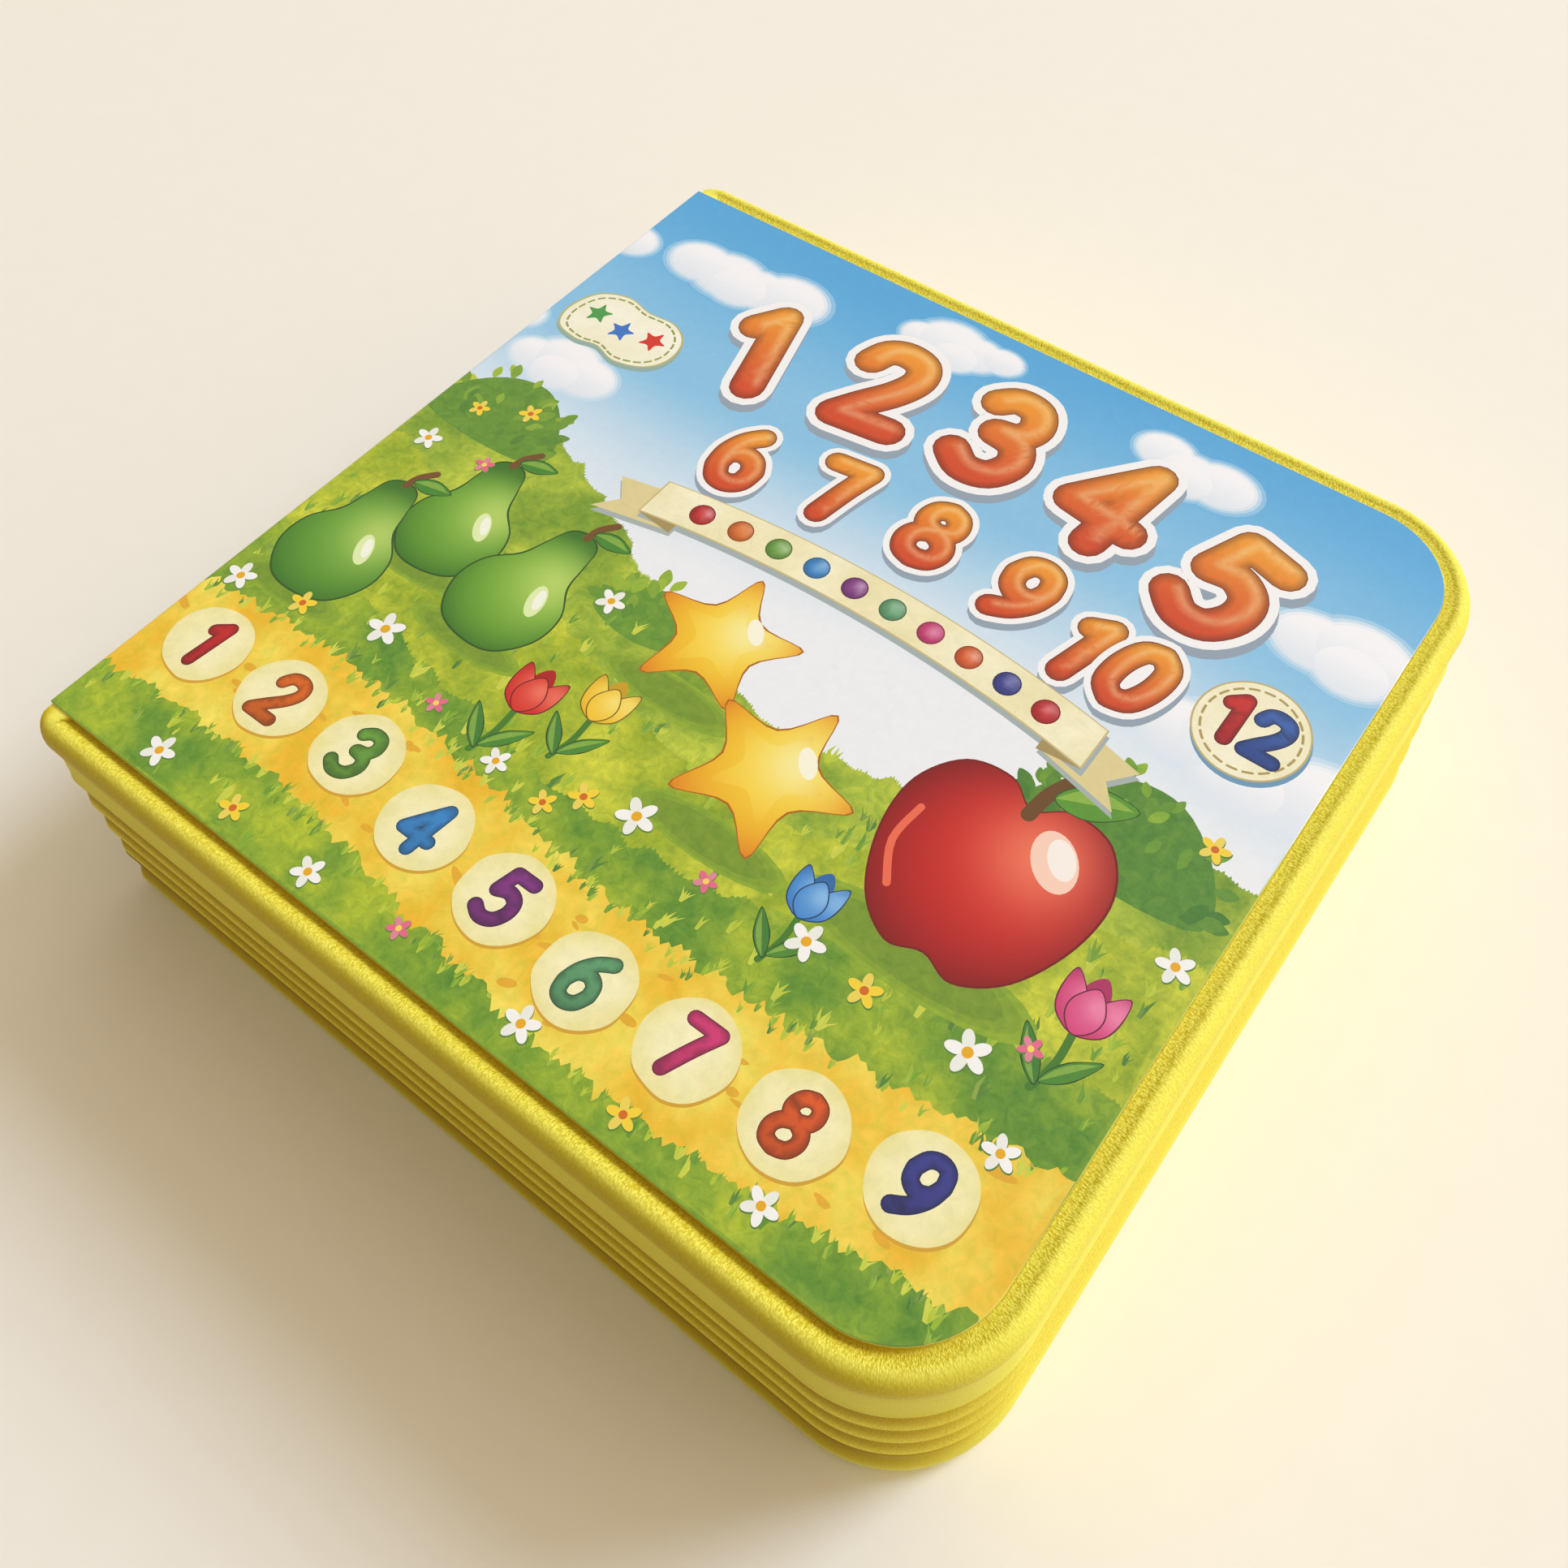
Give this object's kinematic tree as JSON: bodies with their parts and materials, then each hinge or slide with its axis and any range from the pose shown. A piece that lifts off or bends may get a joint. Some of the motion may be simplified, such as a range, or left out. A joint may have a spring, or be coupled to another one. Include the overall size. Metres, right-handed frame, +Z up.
{
  "type": "foam board book",
  "caption": "Closed square board book with thick foam covers, rolled foam rims, foam leaves and a printed wrap-around cover sheet; both covers open at the spine.",
  "frame": {"origin": "middle of the underside, on the table", "axes": "+X from the spine to the fore edge, +Y from the tail edge to the head edge, +Z up through the front cover"},
  "size_m": [0.1604, 0.156, 0.0462],
  "materials": {
    "yellow_foam": "closed-cell foam, leathery grain on the rolled rim, smooth cut wall",
    "leaf_foam": "closed-cell foam, smooth edges",
    "printed_sheet": "coated printed paper, satin"
  },
  "bodies": {
    "block": {"page_block": "leaf_foam", "spine_print": "printed_sheet"},
    "front_cover": {"front_cover_foam": "yellow_foam", "front_cover_print": "printed_sheet", "front_cover_lining": "printed_sheet"},
    "back_cover": {"back_cover_foam": "yellow_foam", "back_cover_print": "printed_sheet", "back_cover_lining": "printed_sheet"}
  },
  "joints": [
    {"name": "front_cover_hinge", "type": "hinge", "parent": "block", "child": "front_cover", "pos_m": [-0.08025, 0, 0.0326], "axis": [0, -1, 0], "range_deg": [0, 180]},
    {"name": "back_cover_hinge", "type": "hinge", "parent": "block", "child": "back_cover", "pos_m": [-0.08025, 0, 0.0116], "axis": [0, 1, 0], "range_deg": [0, 120]}
  ]
}
